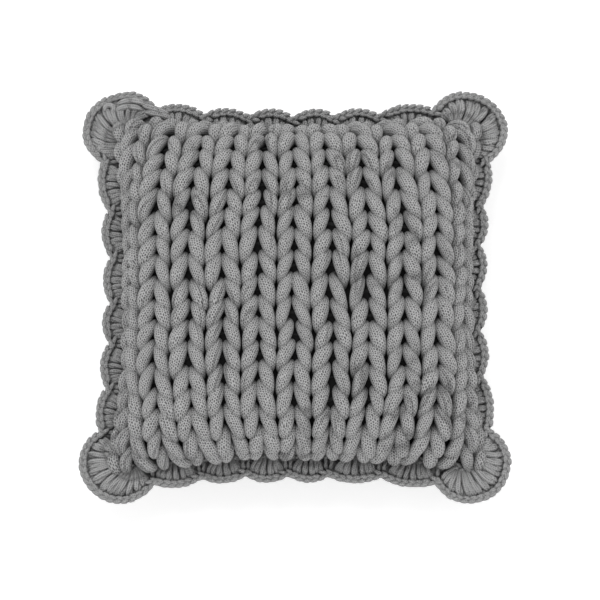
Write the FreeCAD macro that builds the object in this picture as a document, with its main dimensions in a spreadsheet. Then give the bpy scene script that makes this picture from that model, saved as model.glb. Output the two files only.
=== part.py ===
import FreeCAD, Part
import math
import os

import Sketcher
from FreeCAD import Placement, Rotation, Vector

# A throw pillow that lies on its back, with its knitted front up. The origin is on the ground under
# the middle of the pillow, +Z is up, +Y runs to the pillow's top edge and +X to its right.
# A knitted front panel with a dark lining and a woven back panel meet at one seam all round. A
# crocheted border of scallops is sewn into the seam, and a zip in the bottom of the back panel
# closes the cover round its insert, a cloth case with fibre in it.

DIMENSIONS = (
    ("seam_half_x", 168.0, "half the seam's width, at the middle of the sides"),
    ("seam_half_y", 166.0, "half the seam's length, at the middle of the top and bottom"),
    ("seam_flare", 17.0, "how much further out the seam runs at the corners"),
    ("seam_flare_power", 2.5, "how late that flare starts"),
    ("seam_height", 60.0, "height of the seam above the ground"),
    ("crown_height", 153.0, "height of the knitted front above the ground"),
    ("crown_power", 3.6, "how flat the crown is in the middle"),
    ("edge_power", 0.85, "how steep the crown is at the seam; under 1 is rounder"),
    ("side_fullness", 0.18, "how far the crown's sides are pushed outwards"),
    ("knit_outset", 12.0, "how far the knit stands out past the seam"),
    ("knit_thickness", 16.0, "thickness of the chunky knit"),
    ("knit_side_depth", 13.2, "depth of the knit's edge on the border"),
    ("cloth_thickness", 1.0, "thickness of the lining and of the back panel"),
    ("ticking_thickness", 0.6, "thickness of the insert's case"),
    ("layer_gap", 0.6, "room between one layer and the next"),
    ("back_outset", 5.0, "how far the back panel stands out past the seam"),
    ("back_depth", 62.0, "depth of the back's crown before the ground flattens it"),
    ("insert_inset", 6.0, "how far the insert stays inside the seam"),
    ("insert_flare", 8.0, "the insert's own flare at its corners"),
    ("fill_ledge", 1.0, "how much smaller the fill's lower half is at the insert's seam"),
    ("border_thickness", 7.0, "thickness of the crocheted border"),
    ("base_round_inner", 1.4, "how far the border's base round runs inside the seam"),
    ("base_round_outer", 9.0, "how far it runs outside the seam"),
    ("stitch_gap", 0.4, "room between neighbouring pieces of the border"),
    ("scallop_tip", 19.0, "height of a scallop's middle above the base round"),
    ("scallop_valley", 12.0, "height of a scallop's shoulders above the base round"),
    ("scallop_taper", 1.6, "how much a scallop's shoulders draw in on each side"),
    ("corner_run", 41.0, "length of seam that a corner scallop takes on each side"),
    ("corner_shoulder", 14.5, "height of a corner scallop's shoulders above the base round"),
    ("corner_tip", 23.0, "height of a corner scallop's middle above the base round's corner"),
    ("corner_margin", 1.6, "how far the edging keeps off a corner scallop's shoulders"),
    ("edge_width", 7.0, "width of the edging round"),
    ("edge_gap", 0.7, "room between the scallops and the edging round"),
    ("edge_thickness", 8.0, "thickness of the edging round"),
    ("zip_height", 46.0, "height of the zip's middle line above the ground"),
    ("zip_outset", 7.5, "how far the zip's tapes stand out past the seam's middle"),
    ("zip_half_length", 125.0, "half the length of the rows of teeth"),
    ("tape_half_length", 134.0, "half the length of the tapes"),
    ("tape_inner", 3.0, "where a tape starts, above or below the middle line"),
    ("tape_outer", 10.2, "where a tape ends"),
    ("tape_thickness", 1.2, "thickness of a tape"),
    ("tooth_pitch", 3.0, "distance from one tooth to the next"),
    ("tooth_width", 1.7, "width of a tooth along the zip"),
    ("tooth_depth", 2.2, "thickness of the teeth, through the tape"),
    ("tooth_start", 0.8, "distance from the middle line to a tooth's tip"),
    ("spine_start", 1.9, "distance from the middle line to the strip that the teeth stand on"),
    ("stop_length", 2.6, "length of an end stop along the zip"),
    ("stop_depth", 1.6, "how far an end stop stands out of the tapes"),
    ("stop_half_height", 5.0, "half the height of an end stop"),
    ("slider_half_length", 6.0, "half the length of the slider"),
    ("slider_mouth", 4.6, "half the slider's height at its mouth"),
    ("slider_tail", 3.9, "half the slider's height at its tail"),
    ("plate_thickness", 1.4, "thickness of the slider's two plates"),
    ("front_plate", 2.2, "distance from the tapes' middle to the front plate"),
    ("back_plate", 1.7, "distance from the tapes' middle to the back plate"),
    ("flange_width", 0.9, "width of the slider's flanges"),
    ("flange_gap", 0.95, "distance from the tapes' middle to the flanges"),
    ("web_half", 0.4, "half the thickness of the web between the plates"),
    ("bridge_reach", 3.2, "half the length of the bridge that holds the pull tab"),
    ("bridge_wall", 1.0, "thickness of the bridge's legs"),
    ("bridge_height", 3.6, "how far the bridge stands out of the front plate"),
    ("bridge_bar", 0.8, "thickness of the bridge's bar"),
    ("bridge_half", 1.1, "half the width of the bridge"),
    ("tab_axis", 5.0, "distance from the tapes' middle to the pull tab's pivot"),
    ("tab_thickness", 1.4, "thickness of the pull tab"),
    ("tab_length", 27.0, "length of the pull tab past its pivot"),
    ("tab_half", 3.5, "half the width of the pull tab"),
    ("eye_end", 4.6, "where the pull tab's eye ends"),
    ("eye_half", 1.7, "half the width of the pull tab's eye"),
    ("grip_start", 16.0, "where the hole in the pull tab's grip starts"),
    ("grip_end", 24.0, "where it ends"),
    ("grip_half", 1.5, "half the width of that hole"),
)

# The width of each scallop along the seam, in millimetres. Crochet is uneven, so they differ.
SCALLOP_WIDTHS = {
    "left": (50, 50, 43, 50, 51, 58),
    "right": (64, 48, 47, 47, 45, 51),
    "top": (56, 49, 47, 44, 47, 63),
    "bottom": (54, 47, 45, 42, 56, 62),
}
CORNERS = {
    "top_right": (1, 1),
    "bottom_right": (1, -1),
    "bottom_left": (-1, -1),
    "top_left": (-1, 1),
}
GRID = 25

doc = FreeCAD.newDocument("throw_pillow")
sheet = doc.addObject("Spreadsheet::Sheet", "Dimensions")


def fill_sheet():
    """Writes every driving dimension to the sheet, with its name as the cell's alias."""
    rows = list(DIMENSIONS)
    for side, widths in SCALLOP_WIDTHS.items():
        for number, width in enumerate(widths, 1):
            rows.append((f"width_{side}_{number}", width, f"width of scallop {number} on this side"))
    for row, (name, value, meaning) in enumerate(rows, 1):
        sheet.set(f"A{row}", name)
        sheet.set(f"B{row}", str(value))
        sheet.set(f"C{row}", meaning)
        sheet.setAlias(f"B{row}", name)
    doc.recompute()


def size(name):
    return float(sheet.get(name))


def add_feature(label, shape):
    """A sub-part whose shape comes from Part's functions."""
    feature = doc.addObject("Part::Feature", label)
    feature.Label = label
    feature.Shape = shape
    feature.Placement = Placement()
    return feature


def add_body(label):
    body = doc.addObject("PartDesign::Body", label)
    body.Label = label
    return body


def origin_plane(body, role):
    return next(o for o in body.Origin.OriginFeatures if o.Role == role)


def add_sketch(body, name, role, depth="0"):
    """A sketch on one of the body's origin planes, moved along the plane's normal by depth."""
    sketch = body.newObject("Sketcher::SketchObject", name)
    sketch.AttachmentSupport = [(origin_plane(body, role), "")]
    sketch.MapMode = "FlatFace"
    sketch.setExpression("AttachmentOffset.Base.z", depth)
    return sketch


def bind_point(sketch, geometry, end, across, up):
    """Ties a sketch point to two expressions, its distances from the sketch's origin."""
    point = sketch.getPoint(geometry, end)
    for kind, value, expression in (("DistanceX", point.x, across), ("DistanceY", point.y, up)):
        index = sketch.addConstraint(Sketcher.Constraint(kind, -1, 1, geometry, end, value))
        sketch.setExpression(f"Constraints[{index}]", expression)


def join_ends(sketch, pairs):
    for first, second in pairs:
        sketch.addConstraint(Sketcher.Constraint("Coincident", first[0], first[1], second[0], second[1]))


def evaluate(expression):
    """The value of a sheet expression, for a first position of a sketch point."""
    value = sheet.evalExpression(expression.replace("Dimensions.", ""))
    return float(getattr(value, "Value", value))


def draw_outline(sketch, corners):
    """A closed outline of straight edges. Each corner is a pair of expressions."""
    points = [Vector(evaluate(x), evaluate(y), 0) for x, y in corners]
    count = len(points)
    first = sketch.GeometryCount
    for i in range(count):
        sketch.addGeometry(Part.LineSegment(points[i], points[(i + 1) % count]), False)
    join_ends(sketch, [((first + i, 2), (first + (i + 1) % count, 1)) for i in range(count)])
    for i, (across, up) in enumerate(corners):
        bind_point(sketch, first + i, 1, across, up)


def rectangle(low_x, high_x, low_y, high_y):
    return [(low_x, low_y), (high_x, low_y), (high_x, high_y), (low_x, high_y)]


def add_pad(body, sketch, name, length, midplane=False):
    pad = body.newObject("PartDesign::Pad", name)
    pad.Profile = sketch
    pad.setExpression("Length", length)
    pad.Midplane = midplane
    return pad


def seam_offset(share, flare):
    return flare * abs(share) ** size("seam_flare_power")


def crown_point(across, along, half_x, half_y, flare, rise, base):
    """A point of a crowned surface over the seam's outline; across and along run from -1 to 1."""
    fall_x = 1 - abs(across) ** size("crown_power")
    fall_y = 1 - abs(along) ** size("crown_power")
    fullness = size("side_fullness")
    push_x = 1 + fullness * fall_y * (1 - abs(across) ** 5)
    push_y = 1 + fullness * fall_x * (1 - abs(along) ** 5)
    x = (half_x + seam_offset(along, flare)) * across * push_x
    y = (half_y + seam_offset(across, flare)) * along * push_y
    z = base + rise * (fall_x * fall_y) ** size("edge_power")
    return Vector(x, y, z)


def crown(offset, rise, base, flare):
    """A closed solid between the plane at height base and a crown that rises from it."""
    half_x = size("seam_half_x") + offset
    half_y = size("seam_half_y") + offset
    steps = [2 * i / (GRID - 1) - 1 for i in range(GRID)]
    grid = [[crown_point(u, v, half_x, half_y, flare, rise, base) for v in steps] for u in steps]
    surface = Part.BSplineSurface()
    surface.interpolate(grid)
    top = surface.toShape()
    floor = Part.Face(Part.Wire(Part.__sortEdges__(top.Edges)))
    return Part.Solid(Part.makeShell([top, floor]).removeSplitter())


def crown_shell(outer, inner):
    """The layer between two crowns, each given as the arguments of crown()."""
    return crown(*outer).cut(crown(*inner))


def resting(solid, height):
    """The solid without what is below a height: the ground flattens a pillow that lies on it."""
    reach = 300.0
    below = Part.makeBox(2 * reach, 2 * reach, reach, Vector(-reach, -reach, height - reach))
    return solid.cut(below)


def add_front_layers():
    """The knitted front and the lining that backs it."""
    flare = size("seam_flare")
    knit_base = size("seam_height") + size("border_thickness") / 2 + size("stitch_gap")
    knit_rise = size("crown_height") - knit_base
    knit_outer = (size("knit_outset"), knit_rise, knit_base, flare)
    inner_offset = size("knit_outset") - size("knit_side_depth")
    knit_inner = (inner_offset, knit_rise - size("knit_thickness"), knit_base, flare)
    add_feature("knit_front_panel", crown_shell(knit_outer, knit_inner))

    base = size("seam_height") + size("stitch_gap")
    lining_offset = inner_offset - size("layer_gap")
    lining_rise = knit_inner[1] - size("layer_gap") + knit_base - base
    cloth = size("cloth_thickness")
    lining_outer = (lining_offset, lining_rise, base, flare)
    lining_inner = (lining_offset - cloth, lining_rise - cloth, base, flare)
    add_feature("front_lining", crown_shell(lining_outer, lining_inner))
    return lining_rise - cloth


def add_back_panel():
    """The woven back, flat where it rests, with a slot along its bottom edge for the zip."""
    flare = size("seam_flare")
    base = size("seam_height") - size("border_thickness") / 2 - size("stitch_gap")
    cloth = size("cloth_thickness")
    outer = crown(size("back_outset"), -size("back_depth"), base, flare)
    inner = crown(size("back_outset") - cloth, -size("back_depth") + cloth, base, flare)
    panel = resting(outer, 0.0).cut(resting(inner, cloth))
    slot_low = size("zip_height") - size("tape_outer") - size("stitch_gap")
    half = size("tape_half_length") + size("stitch_gap")
    slot_depth = 60.0
    slot_start = -size("seam_half_y") - slot_depth / 2
    slot = Part.makeBox(2 * half, slot_depth, base, Vector(-half, slot_start, slot_low))
    add_feature("back_panel", panel.cut(slot))


def add_insert(lining_rise):
    """The insert: two panels of ticking with a block of fibre between them."""
    flare = size("insert_flare")
    ticking = size("ticking_thickness")
    gap = size("layer_gap")
    offset = -size("insert_inset")
    middle = size("seam_height")
    rise = lining_rise - gap - size("stitch_gap")
    depth = size("back_depth") - size("cloth_thickness") - gap
    rest = size("cloth_thickness") + gap

    top = middle + size("stitch_gap") / 2
    outer = (offset, rise, top, flare)
    inner = (offset - ticking, rise - ticking, top, flare)
    add_feature("insert_cover_front", crown_shell(outer, inner))

    low = middle - size("stitch_gap") / 2
    shell = resting(crown(offset, -depth, low, flare), rest)
    hollow = resting(crown(offset - ticking, -depth + ticking, low, flare), rest + ticking)
    add_feature("insert_cover_back", shell.cut(hollow))

    inset = offset - ticking - gap
    upper = crown(inset, rise - ticking - gap, middle, flare)
    lower_inset = inset - size("fill_ledge")
    lower = resting(crown(lower_inset, -depth + ticking + gap, middle, flare), rest + ticking + gap)
    add_feature("fibre_fill", upper.fuse(lower))


def seam_corner(offset):
    """The seam outline's corner in the first quadrant, moved outwards."""
    reach = size("seam_flare") + offset
    return Vector(size("seam_half_x") + reach, size("seam_half_y") + reach, 0)


def side_point(side, along, offset):
    """A point of the seam's outline on one side, moved outwards."""
    corner = seam_corner(offset)
    upright = side in ("left", "right")
    reach = corner.y if upright else corner.x
    half = size("seam_half_x") if upright else size("seam_half_y")
    out = half + offset + seam_offset(along / reach, size("seam_flare"))
    turned = {"right": (out, along), "left": (-out, along), "top": (along, out), "bottom": (along, -out)}
    return Vector(*turned[side], 0)


def outline_wire(offset):
    """The seam's outline, moved outwards, as four curves."""
    edges = []
    corner = seam_corner(offset)
    for side in ("right", "top", "left", "bottom"):
        reach = corner.y if side in ("left", "right") else corner.x
        sign = 1 if side in ("right", "bottom") else -1
        steps = [sign * reach * (2 * i / (GRID - 1) - 1) for i in range(GRID)]
        curve = Part.BSplineCurve()
        curve.interpolate([side_point(side, along, offset) for along in steps])
        edges.append(curve.toShape())
    return Part.Wire(Part.__sortEdges__(edges))


def slab(outer, inner, thickness):
    """A flat band between two closed wires, centred on the seam's height."""
    face = Part.Face(outer).cut(Part.Face(inner))
    face.translate(Vector(0, 0, size("seam_height") - thickness / 2))
    return face.extrude(Vector(0, 0, thickness))


def add_base_round():
    """The round of crochet that is caught in the seam and that the scallops grow from."""
    outer = outline_wire(size("base_round_outer"))
    inner = outline_wire(-size("base_round_inner"))
    add_feature("border_base_round", slab(outer, inner, size("border_thickness")))


def scallop_places(side):
    """Where each scallop of a side stands: its place on the base round, turn and width."""
    widths = [size(f"width_{side}_{number}") for number in range(1, len(SCALLOP_WIDTHS[side]) + 1)]
    offset = size("base_round_outer") + size("stitch_gap")
    start = -sum(widths) / 2
    places = []
    for width in widths:
        low = side_point(side, start, offset)
        high = side_point(side, start + width, offset)
        chord = high - low
        if side in ("right", "bottom"):
            chord = -chord
        turn = math.degrees(math.atan2(chord.y, chord.x))
        places.append(((low + high) / 2, turn, width))
        start += width
    return places


def placed(middle, turn):
    height = size("seam_height") - size("border_thickness") / 2
    return Placement(Vector(middle.x, middle.y, height), Rotation(Vector(0, 0, 1), turn))


def draw_fan(sketch, base, shoulders, tip):
    """An outline with a straight or folded base, two sides and one round arc over the top."""
    lows = [Vector(evaluate(x), evaluate(y), 0) for x, y in base]
    right = Vector(evaluate(shoulders[0]), evaluate(shoulders[1]), 0)
    left = Vector(-right.x, right.y, 0)
    last = len(lows) - 1
    for i in range(last):
        sketch.addGeometry(Part.LineSegment(lows[i], lows[i + 1]), False)
    sketch.addGeometry(Part.LineSegment(lows[last], right), False)
    sketch.addGeometry(Part.Arc(right, Vector(0, evaluate(tip), 0), left), False)
    sketch.addGeometry(Part.LineSegment(left, lows[0]), False)
    arc = last + 1
    closing = last + 2
    join_ends(sketch, [((i, 2), (i + 1, 1)) for i in range(last)])
    join_ends(sketch, [((last, 2), (arc, 1)), ((arc, 2), (closing, 1)), ((closing, 2), (0, 1))])
    for i, (across, up) in enumerate(base[:-1]):
        bind_point(sketch, i, 1, across, up)
    bind_point(sketch, last, 1, *base[-1])
    bind_point(sketch, arc, 1, *shoulders)
    bind_point(sketch, arc, 2, f"-({shoulders[0]})", shoulders[1])
    bind_radius(sketch, arc, shoulders, tip)


def bind_radius(sketch, arc, shoulders, tip):
    """Ties the arc's radius to its shoulders and its highest point."""
    across, up = shoulders
    rise = f"({tip} - ({up}))"
    radius = f"(({across}) * ({across}) + {rise} * {rise}) / (2 * {rise})"
    index = sketch.addConstraint(Sketcher.Constraint("Radius", arc, evaluate(radius)))
    sketch.setExpression(f"Constraints[{index}]", radius)


def add_fan(label, base, shoulders, tip, middle, turn):
    """A scallop: a fan of stitches, drawn flat and padded to the border's thickness."""
    body = add_body(label)
    sketch = add_sketch(body, f"{label}_outline", "XY_Plane")
    draw_fan(sketch, base, shoulders, tip)
    add_pad(body, sketch, f"{label}_pad", "Dimensions.border_thickness")
    body.Placement = placed(middle, turn)
    return body


def add_side_scallops():
    """Six scallops on each side. Returns, for the edging, each one's place and half width."""
    fans = []
    for side in SCALLOP_WIDTHS:
        for number, (middle, turn, width) in enumerate(scallop_places(side), 1):
            half = f"(Dimensions.width_{side}_{number} / 2 - Dimensions.stitch_gap)"
            base = [(f"-{half}", "0"), (half, "0")]
            shoulders = (f"({half} - Dimensions.scallop_taper)", "Dimensions.scallop_valley")
            add_fan(f"scallop_{side}_{number}", base, shoulders, "Dimensions.scallop_tip", middle, turn)
            fans.append((middle, turn, width / 2, size("scallop_valley"), size("scallop_tip")))
    return fans


def corner_angle():
    """Half the angle between the base round's two edges at a corner."""
    offset = size("base_round_outer") + size("stitch_gap")
    corner = seam_corner(offset)
    back = side_point("right", corner.y - size("corner_run"), offset)
    along = back - corner
    return math.atan2(-along.y, -along.x) - math.pi / 4


def add_corner_scallops():
    """The four larger fans that turn round the corners."""
    offset = size("base_round_outer") + size("stitch_gap")
    corner = seam_corner(offset)
    half_angle = corner_angle()
    run = size("corner_run") - size("stitch_gap")
    low = (run * math.sin(half_angle), -run * math.cos(half_angle))
    rise = size("corner_shoulder")
    high = (low[0] + rise * math.cos(half_angle), low[1] + rise * math.sin(half_angle))
    sheet_rows = (
        ("corner_low_across", low[0]),
        ("corner_low_up", low[1]),
        ("corner_high_across", high[0]),
        ("corner_high_up", high[1]),
    )
    for row, (name, value) in enumerate(sheet_rows, 150):
        sheet.set(f"A{row}", name)
        sheet.set(f"B{row}", str(round(value, 4)))
        sheet.setAlias(f"B{row}", name)
    doc.recompute()
    across = "Dimensions.corner_low_across"
    up = "Dimensions.corner_low_up"
    base = [(f"-{across}", up), ("0", "0"), (across, up)]
    shoulders = ("Dimensions.corner_high_across", "Dimensions.corner_high_up")
    margin = size("corner_margin")
    fans = []
    for name, (sign_x, sign_y) in CORNERS.items():
        middle = Vector(sign_x * corner.x, sign_y * corner.y, 0)
        turn = math.degrees(math.atan2(sign_y, sign_x)) - 90
        add_fan(f"scallop_{name}", base, shoulders, "Dimensions.corner_tip", middle, turn)
        fans.append((middle, turn, high[0] + margin, high[1] + margin, size("corner_tip")))
    return fans


def add_edge_round(fans):
    """The round of single crochet that runs along the scallops' outline."""
    fans = sorted(fans, key=lambda fan: math.atan2(fan[0].y, fan[0].x))
    gap = size("edge_gap")
    shoulders = []
    tips = []
    for middle, turn, half, valley, tip in fans:
        place = Placement(Vector(middle.x, middle.y, 0), Rotation(Vector(0, 0, 1), turn))
        shoulders.append((place.multVec(Vector(half, valley, 0)), place.multVec(Vector(-half, valley, 0))))
        tips.append((place.multVec(Vector(0, tip, 0)), place.Rotation.multVec(Vector(0, 1, 0))))
    count = len(fans)
    wires = []
    for offset in (gap, gap + size("edge_width")):
        joints = []
        for i in range(count):
            meeting = (shoulders[i][1] + shoulders[(i + 1) % count][0]) / 2
            outward = (tips[i][1] + tips[(i + 1) % count][1]).normalize()
            joints.append(meeting + outward * (offset + gap))
        edges = []
        for i in range(count):
            top = tips[i][0] + tips[i][1] * offset
            edges.append(Part.Arc(joints[i - 1], top, joints[i]).toShape())
        wires.append(Part.Wire(Part.__sortEdges__(edges)))
    add_feature("border_edge_round", slab(wires[1], wires[0], size("edge_thickness")))


def zip_place(x=0.0):
    return Placement(Vector(x, -size("seam_half_y") - size("zip_outset"), size("zip_height")), Rotation())


def add_tape(label, sign):
    """One of the zip's two woven tapes, above or below its middle line."""
    body = add_body(label)
    sketch = add_sketch(body, f"{label}_section", "YZ_Plane")
    half = "Dimensions.tape_thickness / 2"
    edges = sorted(((f"{sign}Dimensions.tape_inner"), (f"{sign}Dimensions.tape_outer")), key=evaluate)
    draw_outline(sketch, rectangle(f"-{half}", half, edges[0], edges[1]))
    add_pad(body, sketch, f"{label}_pad", "2 * Dimensions.tape_half_length", True)
    body.Placement = zip_place()


def add_teeth(label, sign, shift):
    """A row of moulded teeth on their strip, along one tape's edge."""
    body = add_body(label)
    strip = add_sketch(body, f"{label}_strip", "YZ_Plane")
    half = "Dimensions.tooth_depth / 2"
    edges = sorted((f"{sign}Dimensions.spine_start", f"{sign}Dimensions.tape_inner"), key=evaluate)
    draw_outline(strip, rectangle(f"-{half}", half, edges[0], edges[1]))
    add_pad(body, strip, f"{label}_strip_pad", "2 * Dimensions.zip_half_length", True)

    count = int(2 * size("zip_half_length") / size("tooth_pitch")) - 1
    tooth = add_sketch(body, f"{label}_tooth", "XZ_Plane")
    low = f"(-Dimensions.zip_half_length + {shift} * Dimensions.tooth_pitch)"
    high = f"({low} + Dimensions.tooth_width)"
    root = f"{sign}(Dimensions.spine_start + 0.2)"
    edges = sorted((f"{sign}Dimensions.tooth_start", root), key=evaluate)
    draw_outline(tooth, rectangle(low, high, edges[0], edges[1]))
    pad = add_pad(body, tooth, f"{label}_tooth_pad", "Dimensions.tooth_depth", True)
    doc.recompute()
    pattern = body.newObject("PartDesign::LinearPattern", f"{label}_row")
    pattern.Originals = [pad]
    pattern.Direction = (tooth, ["H_Axis"])
    pattern.setExpression("Length", f"{count - 1} * Dimensions.tooth_pitch")
    pattern.Occurrences = count
    body.Tip = pattern
    body.Placement = zip_place()


def add_stop(label, sign):
    """A small metal clip that keeps the slider on the zip."""
    body = add_body(label)
    sketch = add_sketch(body, f"{label}_outline", "XZ_Plane", "Dimensions.tape_thickness / 2")
    near = f"{sign}(Dimensions.zip_half_length + 0.6)"
    far = f"{sign}(Dimensions.zip_half_length + 0.6 + Dimensions.stop_length)"
    edges = sorted((near, far), key=evaluate)
    draw_outline(sketch, rectangle(*edges, "-Dimensions.stop_half_height", "Dimensions.stop_half_height"))
    add_pad(body, sketch, f"{label}_pad", "Dimensions.stop_depth")
    body.Placement = zip_place()


def slider_outline():
    """The slider's plates are broad at the mouth, on the +X side, and narrow at the tail."""
    length = "Dimensions.slider_half_length"
    mouth = "Dimensions.slider_mouth"
    tail = "Dimensions.slider_tail"
    return [
        (f"-{length}", f"-{tail} + 1"),
        (f"-{length} + 1.2", f"-{tail}"),
        ("0", f"-{tail}"),
        (f"{length} - 2", f"-{mouth}"),
        (length, f"-{mouth} + 1.6"),
        (length, f"{mouth} - 1.6"),
        (f"{length} - 2", mouth),
        ("0", tail),
        (f"-{length} + 1.2", tail),
        (f"-{length}", f"{tail} - 1"),
    ]


def add_slider(x):
    """The slider: two plates round the teeth, joined by a web, with a bridge for the pull tab."""
    body = add_body("zip_slider")
    thickness = "Dimensions.plate_thickness"
    bite = 0.2

    web = add_sketch(body, "web_section", "XZ_Plane", f"-Dimensions.back_plate - {bite}")
    draw_outline(web, rectangle("1.5", "4.5", "-Dimensions.web_half", "Dimensions.web_half"))
    add_pad(body, web, "web", f"Dimensions.back_plate + Dimensions.front_plate + {2 * bite}")

    front = add_sketch(body, "front_plate_outline", "XZ_Plane", "Dimensions.front_plate")
    draw_outline(front, slider_outline())
    add_pad(body, front, "front_plate", thickness)

    back = add_sketch(body, "back_plate_outline", "XZ_Plane", f"-Dimensions.back_plate - {thickness}")
    draw_outline(back, slider_outline())
    add_pad(body, back, "back_plate", thickness)

    for number, sign in enumerate(("", "-"), 1):
        outer = f"{sign}Dimensions.slider_tail"
        inner = f"{sign}(Dimensions.slider_tail - Dimensions.flange_width)"
        edges = sorted((outer, inner), key=evaluate)
        span = rectangle("-Dimensions.slider_half_length + 1.2", "0.5", *edges)
        upper = add_sketch(body, f"front_flange_{number}_outline", "XZ_Plane", "Dimensions.flange_gap")
        draw_outline(upper, span)
        reach = f"Dimensions.front_plate - Dimensions.flange_gap + {bite}"
        add_pad(body, upper, f"front_flange_{number}", reach)
        depth = f"-Dimensions.back_plate - {bite}"
        lower = add_sketch(body, f"back_flange_{number}_outline", "XZ_Plane", depth)
        draw_outline(lower, span)
        reach = f"Dimensions.back_plate - Dimensions.flange_gap + {bite}"
        add_pad(body, lower, f"back_flange_{number}", reach)

    bridge = add_sketch(body, "bridge_outline", "XY_Plane")
    reach = "Dimensions.bridge_reach"
    inside = f"({reach} - Dimensions.bridge_wall)"
    foot = f"-(Dimensions.front_plate + {thickness} - {bite})"
    top = f"-(Dimensions.front_plate + {thickness} + Dimensions.bridge_height)"
    bar = f"({top} + Dimensions.bridge_bar)"
    corners = [
        (f"-{reach}", foot),
        (f"-{reach}", f"{top} + 0.7"),
        (f"-{reach} + 0.7", top),
        (f"{reach} - 0.7", top),
        (reach, f"{top} + 0.7"),
        (reach, foot),
        (inside, foot),
        (inside, bar),
        (f"-{inside}", bar),
        (f"-{inside}", foot),
    ]
    draw_outline(bridge, corners)
    add_pad(body, bridge, "bridge", "2 * Dimensions.bridge_half", True)
    body.Placement = zip_place(x)


def add_pull_tab(x):
    """The pull tab. Its bar turns in the slider's bridge, about an upright axis."""
    body = add_body("zip_pull_tab")
    depth = "Dimensions.tab_axis - Dimensions.tab_thickness / 2"
    sketch = add_sketch(body, "tab_outline", "XZ_Plane", depth)
    bar = "Dimensions.tab_thickness / 2"
    half = "Dimensions.tab_half"
    outline = [
        (bar, f"-{half} + 0.8"),
        (bar, f"{half} - 0.8"),
        ("-1", half),
        ("-Dimensions.tab_length + 2.2", half),
        ("-Dimensions.tab_length", f"{half} - 2"),
        ("-Dimensions.tab_length", f"-{half} + 2"),
        ("-Dimensions.tab_length + 2.2", f"-{half}"),
        ("-1", f"-{half}"),
    ]
    draw_outline(sketch, outline)
    eye = rectangle("-Dimensions.eye_end", f"-{bar}", "-Dimensions.eye_half", "Dimensions.eye_half")
    draw_outline(sketch, eye)
    grip = rectangle(
        "-Dimensions.grip_end", "-Dimensions.grip_start", "-Dimensions.grip_half", "Dimensions.grip_half"
    )
    draw_outline(sketch, grip)
    add_pad(body, sketch, "tab_pad", "Dimensions.tab_thickness")
    body.Placement = zip_place(x)


def add_zip():
    add_tape("zip_tape_upper", "")
    add_tape("zip_tape_lower", "-")
    add_teeth("zip_teeth_upper", "", 0.1)
    add_teeth("zip_teeth_lower", "-", 0.6)
    add_stop("zip_top_stop", "")
    add_stop("zip_bottom_stop", "-")
    closed = size("zip_half_length") - size("slider_half_length") - size("stitch_gap")
    add_slider(closed)
    add_pull_tab(closed)


def sub_parts():
    return [o for o in doc.Objects if o.TypeId in ("Part::Feature", "PartDesign::Body")]


def check_document():
    """Stops if any object failed or any sub-part's shape isn't sound."""
    doc.recompute()
    for item in doc.Objects:
        if "Invalid" in item.State or "Error" in item.State:
            raise RuntimeError(f"{item.Name} failed: {item.State}")
    for part in sub_parts():
        shape = part.Shape
        if shape.isNull() or not shape.isValid() or not shape.Solids:
            raise RuntimeError(f"{part.Label} has no sound solid")
        print(f"{part.Label}: {shape.Volume / 1000:.2f} cm3, {len(shape.Solids)} solid")


fill_sheet()
add_insert(add_front_layers())
add_back_panel()
add_base_round()
add_edge_round(add_side_scallops() + add_corner_scallops())
add_zip()
check_document()
os.makedirs("parts", exist_ok=True)
for sub_part in sub_parts():
    sub_part.Shape.exportStep(f"parts/{sub_part.Label}.step")
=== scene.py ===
import math
import random

import bpy
import numpy as np
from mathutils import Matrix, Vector


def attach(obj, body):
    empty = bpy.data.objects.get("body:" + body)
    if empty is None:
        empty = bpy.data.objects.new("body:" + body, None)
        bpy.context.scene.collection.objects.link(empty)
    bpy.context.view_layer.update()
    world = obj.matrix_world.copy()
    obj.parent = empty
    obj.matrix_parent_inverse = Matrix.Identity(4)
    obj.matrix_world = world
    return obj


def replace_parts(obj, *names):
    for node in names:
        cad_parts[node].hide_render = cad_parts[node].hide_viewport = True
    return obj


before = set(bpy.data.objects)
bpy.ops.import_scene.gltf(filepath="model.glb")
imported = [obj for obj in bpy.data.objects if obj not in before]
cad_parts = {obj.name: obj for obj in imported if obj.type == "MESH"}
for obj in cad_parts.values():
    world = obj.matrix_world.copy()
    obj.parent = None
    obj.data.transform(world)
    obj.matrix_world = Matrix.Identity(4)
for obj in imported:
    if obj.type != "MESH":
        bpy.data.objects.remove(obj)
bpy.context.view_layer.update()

# A throw pillow on its back. Shapes are worked out in millimetres, in the frame of the CAD part,
# and turned into metres when a mesh is made.

MM = 0.001

# The seam's outline: half its size in the middle of a side, its height, and its reach at the corners
SEAM_X, SEAM_Y, SEAM_Z = 168.0, 166.0, 60.0
FLARE, FLARE_POWER = 17.0, 2.5

# The knit's middle surface: its own reach at the corners, how high it rises over the seam, how full
# its crown and its rim are, how the outer columns crowd, and how far the right side is drawn out
KNIT_FLARE, SIDE_FLARE_POWER, END_FLARE_POWER = 29.0, 2.8, 2.0
KNIT_FOOT = 4.0
YARN_RISE = 82.3
CROWN_POWER = 4.0
RIM_POWER = 0.8
FULLNESS, FULLNESS_POWER = 0.36, 5.23
RIGHT_EASE = 7.0

# How much the columns are drawn together, and the courses bent, at the top and the bottom
GATHER_TOP, GATHER_BOTTOM = 0.26, 0.12
GATHER_POWER = 2.2
COURSE_BEND = 0.4

# How far a strand drifts, in columns and in courses
DRIFT_ACROSS, DRIFT_ALONG = 0.08, 0.19

YARN_RADIUS = 8.4

WALES = 12
COURSES = 18
LOWEST_STRAND = 3.5  # over the seam

TAU = 2 * math.pi


# ---------------------------------------------------------------- meshes

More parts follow.
